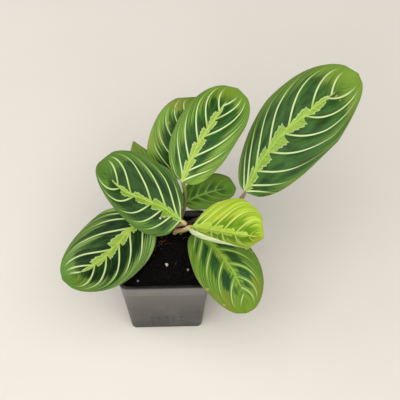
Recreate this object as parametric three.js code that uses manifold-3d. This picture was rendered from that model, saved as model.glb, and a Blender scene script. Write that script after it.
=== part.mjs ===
// A patterned prayer plant growing in a square plastic nursery pot.
// Millimetres, +Z up. The origin is the centre of the pot's underside, the pot's front faces -Y.
import * as THREE from 'three';
import { mergeVertices } from 'three/addons/utils/BufferGeometryUtils.js';
import Module from 'manifold-3d';

// ---- driving dimensions -------------------------------------------------------------------
const POT_WIDTH = 88;            // square mouth, over the rim band
const POT_HEIGHT = 100;
const BASE_WIDTH = 72;           // square foot
const RIM_CORNER = 8;            // corner radius at the rim
const FOOT_CORNER = 5;           // and at the foot
const WALL = 1.4;
const RIM_BAND = 17;             // height of the wider band round the mouth
const RIM_STEP = 0.4;            // how far the band stands out from the wall below it
const LIP_WIDTH = 3.2;           // flat lip round the mouth, reaching inwards
const LIP_DEPTH = 1.6;
const FLOOR = 2.0;
const DRAIN_RADIUS = 4;
const DRAIN_OFFSET = 21;         // drain holes, from the centre line of the foot
const RIB_HEIGHTS = [6, 28];     // plain moulded ribs low on the front wall
const RIB_OFFSETS = [-15, -7.5, 0, 7.5, 15];
const RIB_WIDTH = 1.4;
const RIB_PROUD = 0.7;

const SOIL_LEVEL = 93;           // height of the potting mix at the pot's wall
const SOIL_CROWN = 3;            // how much higher it lies round the plant's crown
const CROWN = [12, 25];          // where the leaf stalks leave the mix
const GAP = 0.3;                 // clearance between neighbouring pieces
const CROWN_SPREAD = 22;         // radius of that mound
const STALK_FOOT = 84;           // height at which the stalks end, inside their holes

const BLADE = 0.8;               // thickness of a leaf blade
const RIB_DEPTH = 0.9;           // the midrib's extra depth under the blade, at its base
const STALK_JOINT = 0.8;         // half width of the blade where it meets its stalk
const PLEAT = 1.3;               // how strongly the blade folds between its side veins
const EDGE_FLAT = 0.65;          // share of the folds that has died away at the very edge
const PLEAT_WIDTH = 12;          // where the blade is narrower than this its folds are lower
const VEIN_SWEEP = 3;            // how strongly the side veins lean towards the tip
const UP = new THREE.Vector3(0, 0, 1);

// Every leaf: the two ends of its blade, then its form. Pairs give the left and the right half,
// seen from above with the tip ahead. Angles are in degrees.
//   roll       turn about the line from base to tip, left half up
//   halfWidth  greatest half width; widest says where along the blade it lies
//   baseRound, tipRound   2 is an ellipse, more is blunter, less is more pointed
//   arch, bend rise and sideways bow of the midrib at mid length
//   fold       angle at which both halves leave the midrib, upwards
//   droop      how far each half has turned down by its edge
//   furl       how far the right half has rolled up at the base of a leaf still opening
//   veins      where the side veins leave the midrib
//   foot       where its stalk leaves the potting mix; stalk is the stalk's radius
//   stalkBow   how far that stalk bows out half way up, towards +X and +Y
//   point      how fast the blade widens from its very tip: half width gained per length
const LEAVES = [
  { name: 'right_long', base: [80.6, 44.6, 130], tip: [193.4, 138.9, 193.7], roll: 7,
    halfWidth: [36.8, 40.5], widest: [0.5, 0.6], baseRound: [1.2, 2.7], tipRound: [2.4, 1.2],
    arch: 17.5, bend: 5.3, fold: 5.9, droop: [-2, -13], foot: [16.5, 25], stalk: 1.7, point: 3,
    stalkBow: [0, -3], veins: [0.03, 0.09, 0.17, 0.28, 0.44, 0.61, 0.77] },
  { name: 'back_upright', base: [18.3, 44.9, 150], tip: [74.1, 118.5, 200.5], roll: -4.5,
    halfWidth: [32.5, 31.7], widest: [0.5, 0.58], baseRound: [2.2, 2.5], tipRound: [2.7, 2.5],
    arch: 11.6, bend: 0, fold: 3, droop: [-16, -7], foot: [15.5, 30.5], stalk: 1.6, point: 4,
    stalkBow: [5.5, 1.5], veins: [0.03, 0.09, 0.21, 0.41, 0.59, 0.76] },
  { name: 'back_hidden', base: [11, 66, 124], tip: [35, 129, 174], roll: 5,
    halfWidth: [33, 32], widest: [0.38, 0.48], baseRound: [2.3, 2.1], tipRound: [2.4, 2.1],
    arch: 7, bend: 0, fold: 13, droop: [-6, -10], foot: [6, 30], stalk: 1.5,
    veins: [0.04, 0.11, 0.21, 0.34, 0.5, 0.68] },
  { name: 'left_upper', base: [17.1, 15.6, 127.7], tip: [-64.3, 84.1, 127.9], roll: -20,
    halfWidth: [26.6, 39.2], widest: [0.3, 0.31], baseRound: [2.5, 1.5], tipRound: [1.2, 2.75],
    arch: 5.2, bend: 6, fold: 11.8, droop: [-36, 14], foot: [11, 26], stalk: 1.6, point: 3,
    veins: [0.03, 0.08, 0.18, 0.31, 0.5, 0.68, 0.78] },
  { name: 'left_lower', base: [-16.8, 31.8, 105.7], tip: [-97.4, -37.7, 110.1], roll: -10.4,
    halfWidth: [35.5, 35.1], widest: [0.57, 0.36], baseRound: [2.3, 2.2], tipRound: [1.9, 2],
    arch: -3, bend: 4.9, fold: 15.4, droop: [-2, 4], foot: [5.5, 24.5], stalk: 1.5, point: 5,
    veins: [0.04, 0.1, 0.18, 0.36, 0.5, 0.68, 0.82] },
  { name: 'young_lime', base: [27.8, 6.5, 130], tip: [94.3, -19.1, 148.8], roll: -9,
    halfWidth: [38, 36.2], widest: [0.48, 0.48], baseRound: [1.4, 2.1], tipRound: [1.7, 2.2],
    arch: 1, bend: -1, fold: 18, droop: [-8, 0], foot: [11, 20.5], stalk: 2.1, point: 3,
    stalkBow: [2.5, -1.5], furl: 115, furlEnd: 0.85, veins: [0.05, 0.15, 0.28, 0.44, 0.62] },
  { name: 'right_lower', base: [30.6, 12.2, 112], tip: [77.6, -71.8, 99], roll: -5,
    halfWidth: [29.4, 33.2], widest: [0.58, 0.5], baseRound: [2.1, 1.5], tipRound: [1.7, 1.9],
    arch: 10.6, bend: 5.1, fold: 7.1, droop: [-10, -8], foot: [16.5, 19.5], stalk: 1.5, point: 5,
    veins: [0.03, 0.1, 0.26, 0.46, 0.64, 0.79] },
  { name: 'small_shaded', base: [20, 42, 116], tip: [72, 55, 122], roll: 1,
    halfWidth: [19, 17.5], widest: [0.52, 0.42], baseRound: [2.1, 2.1], tipRound: [2.2, 2],
    arch: 3, bend: 2, fold: 11, droop: [-8, -9], foot: [11, 33.5], stalk: 1.2,
    veins: [0.06, 0.18, 0.33, 0.5, 0.68] },
  { name: 'left_pointed', base: [-1, 45, 106], tip: [-30, 118, 116], roll: 2,
    halfWidth: [21, 21], widest: [0.48, 0.48], baseRound: [2.1, 2.1], tipRound: [1.25, 1.25],
    arch: 2, bend: 1, fold: 5, droop: [-10, -12], foot: [0.5, 31.5], stalk: 1.2, point: 0.6,
    veins: [0.06, 0.18, 0.33, 0.5, 0.68] },
];
const BLUNT_TIP = 2.6;           // steepest taper at the tip: half width gained per length
const BLUNT_BASE = 3.5;          // and at the base

const COLOUR = {
  pot: [0x4b4a48, 0.42],
  soil: [0x17120f, 0.95],
  perlite: [0xe9e6df, 0.8],
  blade: [0x3f7a35, 0.45],
  young: [0xa8c832, 0.45],
  stalk: [0x9a9a63, 0.55],
};

const plant = new THREE.Group();
const wasm = await Module();
wasm.setup();

// ---- small helpers ------------------------------------------------------------------------
function addPart(name, geometry, [colour, roughness]) {
  const material = new THREE.MeshStandardMaterial({ color: colour, roughness, metalness: 0 });
  const mesh = new THREE.Mesh(geometry, material);
  mesh.name = name;
  plant.add(mesh);
}

function toSolid(geometry) {
  const bare = geometry.clone();
  bare.deleteAttribute('normal');
  bare.deleteAttribute('uv');
  const merged = mergeVertices(bare, 1e-4);
  return new wasm.Manifold(new wasm.Mesh({
    numProp: 3,
    vertProperties: new Float32Array(merged.attributes.position.array),
    triVerts: new Uint32Array(merged.index.array),
  }));
}

function toGeometry(solid) {
  const mesh = solid.getMesh();
  const geometry = new THREE.BufferGeometry();
  geometry.setAttribute('position', new THREE.BufferAttribute(mesh.vertProperties, 3));
  geometry.setIndex(new THREE.BufferAttribute(mesh.triVerts, 1));
  return geometry;
}

function fromTriangles(points, faces) {
  const geometry = new THREE.BufferGeometry();
  geometry.setAttribute('position', new THREE.Float32BufferAttribute(points.flat(), 3));
  geometry.setIndex(faces.flat());
  return geometry;
}

// Joins rings of equal length, given from the underside outwards and up, into a closed body.
function loft(rings) {
  const count = rings[0].length;
  const points = rings.flat();
  const faces = [];
  for (let r = 0; r + 1 < rings.length; r += 1) {
    for (let k = 0; k < count; k += 1) {
      const a = r * count + k;
      const b = r * count + ((k + 1) % count);
      faces.push([a, b, b + count], [a, b + count, a + count]);
    }
  }
  [0, rings.length - 1].forEach((r) => {
    const centre = [0, 1, 2].map((axis) => rings[r].reduce((sum, p) => sum + p[axis], 0) / count);
    const hub = points.push(centre) - 1;
    for (let k = 0; k < count; k += 1) {
      const a = r * count + k;
      const b = r * count + ((k + 1) % count);
      faces.push(r === 0 ? [hub, b, a] : [hub, a, b]);
    }
  });
  return fromTriangles(points, faces);
}

// A round tube through a curve, with a radius for every step.
function tube(curve, radii, sides) {
  const steps = radii.length - 1;
  const { normals, binormals } = curve.computeFrenetFrames(steps, false);
  const rings = radii.map((radius, i) => {
    const centre = curve.getPointAt(i / steps);
    return Array.from({ length: sides }, (_, k) => {
      const angle = (2 * Math.PI * k) / sides;
      return centre.clone()
        .addScaledVector(normals[i], radius * Math.cos(angle))
        .addScaledVector(binormals[i], radius * Math.sin(angle))
        .toArray();
    });
  });
  return loft(rings);
}

// A small fixed sequence of numbers from 0 to 1, so that the model is the same every time.
function seeded(seed) {
  let state = seed;
  return () => {
    state = (state * 1664525 + 1013904223) % 4294967296;
    return state / 4294967296;
  };
}

// ---- pot ----------------------------------------------------------------------------------
const CORNER_STEPS = 6;
function roundedSquare(width, radius, z) {
  const ring = [];
  [[1, -1], [1, 1], [-1, 1], [-1, -1]].forEach(([sx, sy], corner) => {
    const start = (corner - 1) * (Math.PI / 2);
    for (let i = 0; i <= CORNER_STEPS; i += 1) {
      const angle = start + (i / CORNER_STEPS) * (Math.PI / 2);
      ring.push([
        sx * (width / 2 - radius) + radius * Math.cos(angle),
        sy * (width / 2 - radius) + radius * Math.sin(angle),
        z,
      ]);
    }
  });
  return ring;
}

// Width over the wall at a height, below the rim band.
function wallWidth(z) {
  return BASE_WIDTH + ((POT_WIDTH - 2 * RIM_STEP - BASE_WIDTH) * z) / POT_HEIGHT;
}

function cornerRadius(z) {
  return FOOT_CORNER + ((RIM_CORNER - FOOT_CORNER) * z) / POT_HEIGHT;
}

const FOOT_ROUND = 2;            // rounding between the wall and the underside
const FOOT_BEVEL = 0.4;          // half way round it
const BAND_FOOT = POT_HEIGHT - RIM_BAND;
const BAND_BEVEL = 0.4;          // height of the slope under the band
const LIP_ROUND = 0.5;
const LIP_FOOT = POT_HEIGHT - LIP_DEPTH;
const BAND_FLOOR = BAND_FOOT + 2;  // the cavity widens to the band's own width here
function makePot() {
  const outside = (width, z) => roundedSquare(width, cornerRadius(z), z);
  const inside = (width, z) => roundedSquare(width, cornerRadius(z) - WALL, z);
  const cavity = (z) => wallWidth(z) - 2 * WALL;
  const mouth = POT_WIDTH - 2 * LIP_WIDTH;
  const band = POT_WIDTH - 2 * WALL;
  const shell = loft([
    roundedSquare(BASE_WIDTH - 2 * FOOT_ROUND, FOOT_CORNER - FOOT_ROUND, 0),
    outside(BASE_WIDTH - 2 * FOOT_BEVEL, 0.6),
    outside(wallWidth(FOOT_ROUND), FOOT_ROUND),
    outside(wallWidth(BAND_FOOT), BAND_FOOT - BAND_BEVEL),
    outside(POT_WIDTH - RIM_STEP, BAND_FOOT),
    outside(POT_WIDTH, POT_HEIGHT - LIP_ROUND),
    roundedSquare(POT_WIDTH - 2 * LIP_ROUND, RIM_CORNER - LIP_ROUND, POT_HEIGHT),
    roundedSquare(mouth, RIM_CORNER - LIP_WIDTH, POT_HEIGHT),
    roundedSquare(mouth, RIM_CORNER - LIP_WIDTH, LIP_FOOT),
    inside(band, LIP_FOOT - (LIP_WIDTH - WALL) / 2),
    inside(band - RIM_STEP, BAND_FLOOR),
    inside(cavity(BAND_FOOT), BAND_FOOT),
    inside(cavity(FLOOR), FLOOR),
  ]);
  let pot = toSolid(shell);
  for (const sx of [-1, 1]) {
    for (const sy of [-1, 1]) {
      const drain = new THREE.CylinderGeometry(DRAIN_RADIUS, DRAIN_RADIUS, 4 * FLOOR, 20);
      drain.rotateX(Math.PI / 2);
      drain.translate(sx * DRAIN_OFFSET, sy * DRAIN_OFFSET, 0);
      pot = pot.subtract(toSolid(drain));
    }
  }
  const [low, high] = RIB_HEIGHTS;
  const lean = Math.atan((wallWidth(high) - wallWidth(low)) / 2 / (high - low));
  for (const x of RIB_OFFSETS) {
    const rib = new THREE.BoxGeometry(RIB_WIDTH, 2 * RIB_PROUD, high - low);
    rib.rotateX(lean);
    rib.translate(x, -wallWidth((low + high) / 2) / 2, (low + high) / 2);
    pot = pot.add(toSolid(rib));
  }
  return toGeometry(pot);
}

// ---- leaves -------------------------------------------------------------------------------
function leafFrame(leaf) {
  const base = new THREE.Vector3(...leaf.base);
  const along = new THREE.Vector3(...leaf.tip).sub(base);
  const length = along.length();
  along.normalize();
  const level = UP.clone().addScaledVector(along, -along.z).normalize();
  const side = new THREE.Vector3().crossVectors(level, along);
  const roll = THREE.MathUtils.degToRad(leaf.roll);
  const left = side.clone().multiplyScalar(Math.cos(roll)).addScaledVector(level, Math.sin(roll));
  const face = level.clone().multiplyScalar(Math.cos(roll)).addScaledVector(side, -Math.sin(roll));
  const bow = face.clone().multiplyScalar(leaf.arch).addScaledVector(left, leaf.bend);
  return { base, along, length, left, bow };
}

function tangentAt(frame, u) {
  return frame.along.clone().multiplyScalar(frame.length)
    .addScaledVector(frame.bow, 4 * (1 - 2 * u)).normalize();
}

function halfWidthAt(leaf, frame, u, half) {
  const widest = leaf.widest[half];
  const beyond = u > widest;
  const reach = beyond ? (u - widest) / (1 - widest) : (widest - u) / widest;
  const round = beyond ? leaf.tipRound[half] : leaf.baseRound[half];
  const oval = leaf.halfWidth[half] * Math.sqrt(Math.max(0, 1 - reach ** round));
  const taper = Math.min(u * BLUNT_BASE, (1 - u) * (leaf.point ?? BLUNT_TIP)) * frame.length;
  return Math.min(oval, taper) + STALK_JOINT;
}

// Low folds between the side veins: -1 on a vein, up to 1 half way to the next.
function pleatAt(leaf, t) {
  const marks = [0, ...leaf.veins, 0.9];
  const i = marks.findIndex((mark, k) => k + 1 < marks.length && t >= mark && t < marks[k + 1]);
  if (i < 0) return 0;
  const gap = marks[i + 1] - marks[i];
  return -Math.cos((2 * Math.PI * (t - marks[i])) / gap) * Math.min(1, gap / 0.12);
}

// Side veins lean forward as they near the edge: t counts along the midrib, s across the blade
// from -1 (right edge) to 1 (left edge), and lines of equal t run along the veins.
function alongBlade(t, s) {
  const edge = (t * (1 + VEIN_SWEEP)) / (1 + VEIN_SWEEP * t);
  return t + (0.3 * Math.abs(s) + 0.7 * s * s) * (edge - t);
}

const CROSS_STEPS = 12;
function bladePoint(leaf, frame, t, s) {
  const u = alongBlade(t, s);
  const across = Math.abs(s);
  const half = s > 0 ? 0 : 1;
  const tangent = tangentAt(frame, u);
  const left = frame.left.clone().addScaledVector(tangent, -tangent.dot(frame.left)).normalize();
  const face = new THREE.Vector3().crossVectors(tangent, left);
  const width = halfWidthAt(leaf, frame, u, half);
  const opening = Math.max(0, 1 - u / (leaf.furlEnd ?? 1)) ** 0.6;
  const furl = half === 1 ? (leaf.furl ?? 0) * opening : 0;
  let out = 0;
  let rise = 0;
  for (let i = 0; i < CROSS_STEPS; i += 1) {
    const at = (across * (i + 0.5)) / CROSS_STEPS;
    const angle = THREE.MathUtils.degToRad(leaf.fold + leaf.droop[half] * at + furl * at ** 3);
    out += (Math.cos(angle) * across * width) / CROSS_STEPS;
    rise += (Math.sin(angle) * across * width) / CROSS_STEPS;
  }
  const swell = across * (1 - EDGE_FLAT * across) * Math.min(1, width / PLEAT_WIDTH);
  rise += PLEAT * pleatAt(leaf, t) * swell;
  return frame.base.clone()
    .addScaledVector(frame.along, frame.length * u)
    .addScaledVector(frame.bow, 4 * u * (1 - u))
    .addScaledVector(left, Math.sign(s) * out)
    .addScaledVector(face, rise);
}

function bladeNormal(leaf, frame, t, s) {
  const step = 0.01;
  const clamp = (value, low) => Math.min(1 - step, Math.max(low, value));
  const tc = clamp(t, step);
  const sc = clamp(s, -1 + step);
  const dt = bladePoint(leaf, frame, tc + step, sc).sub(bladePoint(leaf, frame, tc - step, sc));
  const ds = bladePoint(leaf, frame, tc, sc + step).sub(bladePoint(leaf, frame, tc, sc - step));
  return dt.cross(ds).normalize();
}

// One row of points along every side vein and one half way to the next. The edge turns fastest
// at the two ends, so more rows are set there.
const SHORT_GAP = 0.05;          // rows closer than this get none between them
function bladeRows(leaf) {
  const first = leaf.veins[0];
  const marks = [0, 0.25 * first, 0.55 * first, ...leaf.veins, 0.9, 0.96, 1];
  return marks.flatMap((mark, i) => {
    const gap = (marks[i + 1] ?? mark) - mark;
    return gap > SHORT_GAP ? [mark, mark + gap / 2] : [mark];
  });
}
const COLUMNS = [-1, -0.82, -0.6, -0.35, -0.12, 0, 0.12, 0.35, 0.6, 0.82, 1];

function makeBlade(leaf) {
  const frame = leafFrame(leaf);
  const rows = bladeRows(leaf);
  const wide = COLUMNS.length;
  const upper = [];
  const lower = [];
  for (const t of rows) {
    for (const s of COLUMNS) {
      const point = bladePoint(leaf, frame, t, s);
      const normal = bladeNormal(leaf, frame, t, s);
      const rib = s === 0 ? RIB_DEPTH * (1 - t) : 0;
      upper.push(point.clone().addScaledVector(normal, BLADE / 2).toArray());
      lower.push(point.clone().addScaledVector(normal, -BLADE / 2 - rib).toArray());
    }
  }
  const under = upper.length;
  const faces = [];
  const quad = (a, b, c, d) => faces.push([a, b, c], [a, c, d]);
  for (let r = 0; r + 1 < rows.length; r += 1) {
    for (let k = 0; k + 1 < wide; k += 1) {
      const a = r * wide + k;
      const [b, c, d] = [a + wide, a + wide + 1, a + 1];
      quad(a, b, c, d);
      faces.push([a + under, c + under, b + under], [a + under, d + under, c + under]);
    }
    const left = r * wide + wide - 1;
    const right = r * wide;
    quad(left, left + wide, left + wide + under, left + under);
    quad(right, right + under, right + wide + under, right + wide);
  }
  const last = (rows.length - 1) * wide;
  for (let k = 0; k + 1 < wide; k += 1) {
    quad(k, k + 1, k + 1 + under, k + under);
    quad(last + k, last + k + under, last + k + 1 + under, last + k + 1);
  }
  return fromTriangles([...upper, ...lower], faces);
}

// ---- stalks -------------------------------------------------------------------------------
const APPROACH = 7;              // length over which a stalk turns to meet its blade
const BOW_SHARE = [0.65, 0.7];   // share of its bow at the middle and where the turn begins
const STALK_LIFT = 0.06;         // how much a stalk bulges upwards, against its length
function stalkCurve(leaf) {
  const frame = leafFrame(leaf);
  const tangent = tangentAt(frame, 0);
  const [x, y] = leaf.foot;
  const mouth = new THREE.Vector3(x, y, SOIL_LEVEL + SOIL_CROWN + 1);
  const ascent = frame.base.clone().sub(mouth).normalize();
  const [bowX, bowY] = leaf.stalkBow ?? [0, 0];
  const bow = new THREE.Vector3(bowX, bowY, 0);
  const arrive = tangent.clone().add(ascent).normalize();
  const approach = frame.base.clone()
    .addScaledVector(arrive, -APPROACH)
    .addScaledVector(bow, BOW_SHARE[1]);
  const middle = mouth.clone().lerp(approach, 0.5).addScaledVector(bow, BOW_SHARE[0]);
  middle.z += STALK_LIFT * mouth.distanceTo(approach);
  const last = frame.base.clone().sub(approach).normalize();
  const clear = GAP + 0.15 + leaf.stalk * Math.sin(last.angleTo(tangent));
  const end = frame.base.clone().addScaledVector(last, -clear);
  return new THREE.CatmullRomCurve3([
    new THREE.Vector3(x, y, STALK_FOOT),
    mouth,
    middle,
    approach,
    end,
  ], false, 'centripetal');
}

const STALK_STEPS = 12;
const STALK_SIDES = 8;
const SHEATH_SWELL = 0.6;        // extra radius of the sheath at the stalk's foot
const KNEE_SWELL = 0.35;         // and of the knee just below the blade
const NECK = 0.4;                // narrowing where the stalk meets its blade
function makeStalk(leaf, curve) {
  const radii = Array.from({ length: STALK_STEPS + 1 }, (_, i) => {
    const f = i / STALK_STEPS;
    const sheath = SHEATH_SWELL * Math.max(0, 1 - f / 0.5);
    const knee = KNEE_SWELL * Math.exp(-(((f - 0.88) / 0.08) ** 2));
    const neck = i === STALK_STEPS ? NECK : 0;
    return leaf.stalk + sheath + knee - neck;
  });
  return tube(curve, radii, STALK_SIDES);
}

// ---- potting mix --------------------------------------------------------------------------
function soilHeight(x, y) {
  const away = Math.hypot(x - CROWN[0], y - CROWN[1]);
  const mound = SOIL_CROWN * Math.exp(-((away / CROWN_SPREAD) ** 2));
  const lumps = 0.9 * Math.sin(0.31 * x + 1.1) * Math.cos(0.27 * y - 0.4)
    + 0.6 * Math.sin(0.83 * x - 0.57 * y) + 0.4 * Math.cos(0.71 * x + 1.13 * y);
  return SOIL_LEVEL + mound + lumps;
}

const EDGE_DIP = 1.5;            // how much lower the mix lies right at the wall
const CRUMBS = 26;
const CRUMB_FIELD = 70;          // side of the square the larger crumbs lie in
const CRUMB_SIZE = [1.6, 3.4];   // radius, from smallest to largest
const CRUMB_FLAT = 0.75;         // height of a crumb against its width
const CRUMB_SUNK = 0.15;         // how deep its centre lies, against its radius
const MIX_CLEARANCE = 0.35;      // between the mix and the pot's wall
const BORE_CLEARANCE = 1.5 * GAP;
const SOCKET_CLEARANCE = 1.3 * GAP;
const BORE_SIDES = 12;
function makeSoil(curves) {
  const gapWidth = (z) => wallWidth(z) - 2 * WALL - 2 * MIX_CLEARANCE;
  const radius = (z) => cornerRadius(z) - WALL - GAP;
  const top = gapWidth(BAND_FOOT);
  const rings = [
    roundedSquare(gapWidth(FLOOR + GAP), radius(FLOOR), FLOOR + GAP),
    roundedSquare(top, radius(BAND_FOOT), BAND_FOOT - GAP),
  ];
  for (const scale of [1, 0.84, 0.66, 0.48, 0.3, 0.13]) {
    const ring = roundedSquare(top, radius(BAND_FOOT), 0).map(([x, y]) => {
      const dip = scale === 1 ? EDGE_DIP : 0;
      return [x * scale, y * scale, soilHeight(x * scale, y * scale) - dip];
    });
    rings.push(ring);
  }
  let soil = toSolid(loft(rings));
  const random = seeded(7);
  for (let i = 0; i < CRUMBS; i += 1) {
    const x = (random() - 0.5) * CRUMB_FIELD;
    const y = (random() - 0.5) * CRUMB_FIELD;
    const size = THREE.MathUtils.lerp(...CRUMB_SIZE, random());
    const crumb = new THREE.IcosahedronGeometry(size, 0);
    crumb.rotateX(3 * random());
    crumb.rotateY(3 * random());
    crumb.scale(1, 1, CRUMB_FLAT);
    crumb.translate(x, y, soilHeight(x, y) - CRUMB_SUNK * size);
    soil = soil.add(toSolid(crumb));
  }
  LEAVES.forEach((leaf, i) => {
    const bore = leaf.stalk + SHEATH_SWELL + BORE_CLEARANCE;
    const radii = Array.from({ length: STALK_STEPS + 1 }, () => bore);
    soil = soil.subtract(toSolid(tube(curves[i].hole, radii, BORE_SIDES)));
  });
  return soil;
}

// White perlite grains, each half sunk in a socket of its own.
const PERLITE = [[2, -14, 1.9], [-26, -32, 1.3], [23, -21, 1.5], [-30, 10, 1.2], [33, 32, 1.4]];
const GRAIN_SHAPE = [1, 0.85, 0.8];
const GRAIN_RAISED = 0.3;        // how high a grain's centre lies, against its radius
function perliteGrain([x, y, size], grow) {
  const grain = new THREE.IcosahedronGeometry(size + grow, 1);
  grain.rotateZ(x);
  grain.scale(...GRAIN_SHAPE);
  grain.translate(x, y, soilHeight(x, y) + GRAIN_RAISED * size);
  return grain;
}

// ---- assembly -----------------------------------------------------------------------------
const curves = LEAVES.map((leaf) => {
  const stalk = stalkCurve(leaf);
  const hole = stalk.clone();
  hole.points = stalk.points.map((point) => point.clone());
  hole.points[0].z -= GAP;
  return { stalk, hole };
});

addPart('pot', makePot(), COLOUR.pot);
let soil = makeSoil(curves);
PERLITE.forEach((grain, i) => {
  soil = soil.subtract(toSolid(perliteGrain(grain, SOCKET_CLEARANCE)));
  addPart(`perlite_${i + 1}`, perliteGrain(grain, 0), COLOUR.perlite);
});
addPart('soil', toGeometry(soil), COLOUR.soil);
LEAVES.forEach((leaf, i) => {
  const finish = leaf.furl ? COLOUR.young : COLOUR.blade;
  addPart(`blade_${leaf.name}`, makeBlade(leaf), finish);
  addPart(`stalk_${leaf.name}`, makeStalk(leaf, curves[i].stalk), COLOUR.stalk);
});

export default plant;
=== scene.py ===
# %% [markdown]
# # A patterned prayer plant in a square nursery pot
#
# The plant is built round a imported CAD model, which fixes every size and place. Each cell below
# makes one piece or one finish. Lengths are worked out in millimetres, as a maker would read
# them off a ruler, and turned to metres only when a mesh is written.

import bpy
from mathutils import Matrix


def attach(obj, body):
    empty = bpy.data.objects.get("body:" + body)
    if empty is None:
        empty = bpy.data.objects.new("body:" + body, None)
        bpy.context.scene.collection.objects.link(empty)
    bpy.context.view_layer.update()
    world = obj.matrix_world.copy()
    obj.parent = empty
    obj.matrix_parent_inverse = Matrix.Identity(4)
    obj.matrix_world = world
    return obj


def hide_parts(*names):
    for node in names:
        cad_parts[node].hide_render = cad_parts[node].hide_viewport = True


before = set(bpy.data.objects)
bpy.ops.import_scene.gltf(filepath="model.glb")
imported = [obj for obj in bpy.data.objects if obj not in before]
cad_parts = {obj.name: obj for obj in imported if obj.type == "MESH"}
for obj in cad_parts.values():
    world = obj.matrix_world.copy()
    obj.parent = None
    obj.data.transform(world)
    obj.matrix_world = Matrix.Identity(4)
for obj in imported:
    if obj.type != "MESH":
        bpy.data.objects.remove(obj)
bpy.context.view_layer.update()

import math
from types import SimpleNamespace

import bmesh
import bpy
import numpy as np
from mathutils import Matrix, Vector, noise

MM = .001
print("nodes in the frame:", len(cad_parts))

# %% [markdown]
# ## Small helpers
#
# Meshes are written from plain arrays of points and faces, because every piece here follows a
# formula. Extra numbers on the points, such as how far along a leaf a point lies, are stored as
# mesh attributes, so that a material can draw a marking in the leaf's own coordinates. A second
# function ties a piece to its body and hides the CAD nodes that it stands in for.

# %% Make a piece from points and faces
def show(thing):
    bpy.context.scene.collection.objects.link(thing)


def make_piece(name, points, faces, finish=None, marks=None, smooth=True):
    mesh = bpy.data.meshes.new(name)
    faces = [[int(v) for v in face] for face in faces]
    mesh.from_pydata((np.asarray(points) * MM).tolist(), [], faces)
    for key, values in (marks or {}).items():
        layer = mesh.attributes.new(key, "FLOAT_VECTOR", "POINT")
        layer.data.foreach_set("vector", values.astype(np.float32).ravel())
    mesh.polygons.foreach_set("use_smooth", [smooth] * len(mesh.polygons))
    if finish:
        mesh.materials.append(finish)
    piece = bpy.data.objects.new(name, mesh)
    show(piece)
    return piece


def settle(piece, slot, *nodes):
    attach(piece, "root")
    if nodes:
        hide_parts(*nodes)


def unit(vectors):
    length = np.linalg.norm(vectors, axis=-1, keepdims=True)
    return vectors / np.maximum(length, 1e-9)


def columns(*values):
    return np.stack(values, axis=1)


def hump(away, reach):
    """1 where `away` is 0, and almost nothing at twice the reach."""
    return np.exp(-(away / reach) ** 2)


def ring_faces(rings, count):
    """Faces that join each ring of `count` points to the next ring."""
    start, k = np.meshgrid(np.arange(rings - 1) * count, np.arange(count), indexing="ij")
    a, b = (start + k).ravel(), (start + (k + 1) % count).ravel()
    return columns(a, b, b + count, a + count).tolist()


# %% [markdown]
# ## Colours and nodes
#
# A colour picked on a screen is an sRGB value, and a shader works in linear light, so one
# function turns a hex value to linear. The function `add` makes a node, sets it and links it,
# which keeps long node trees readable as lists of steps.

# %% Colour and node helpers
def linear(hex_value):
    parts = [int(hex_value[i:i + 2], 16) / 255 for i in (1, 3, 5)]
    return [p / 12.92 if p <= .04045 else ((p + .055) / 1.055) ** 2.4 for p in parts] + [1.0]


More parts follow.
